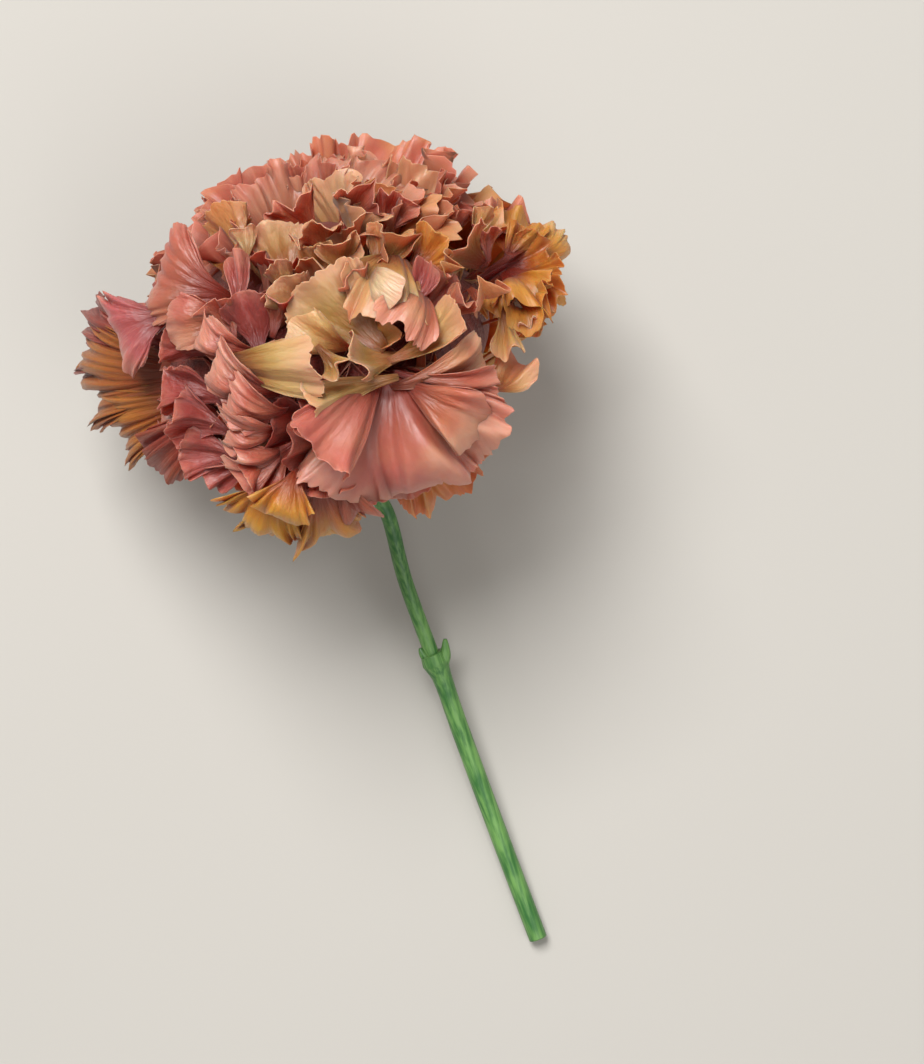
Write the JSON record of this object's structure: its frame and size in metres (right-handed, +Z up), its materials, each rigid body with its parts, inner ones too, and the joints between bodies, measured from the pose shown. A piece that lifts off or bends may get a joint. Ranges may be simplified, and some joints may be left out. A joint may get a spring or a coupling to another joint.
{
  "type": "lisianthus flower",
  "caption": "Double lisianthus bloom with frilled, layered petals on a short cut stem with one leaf node, lying on its side.",
  "frame": {"origin": "under the middle of the flower's bounding box, on the surface that it lies on", "axes": "+Z is up, +Y runs along the stem towards the bloom, and +X is to the right seen from above"},
  "size_m": [0.0938, 0.1542, 0.0846],
  "materials": {
    "petals": "satin",
    "sepals": "satin",
    "pistil": "satin",
    "stem": "satin"
  },
  "bodies": {
    "root": {"corolla": "petals", "calyx": "sepals", "pistil": "pistil", "stem": "stem"}
  },
  "joints": []
}
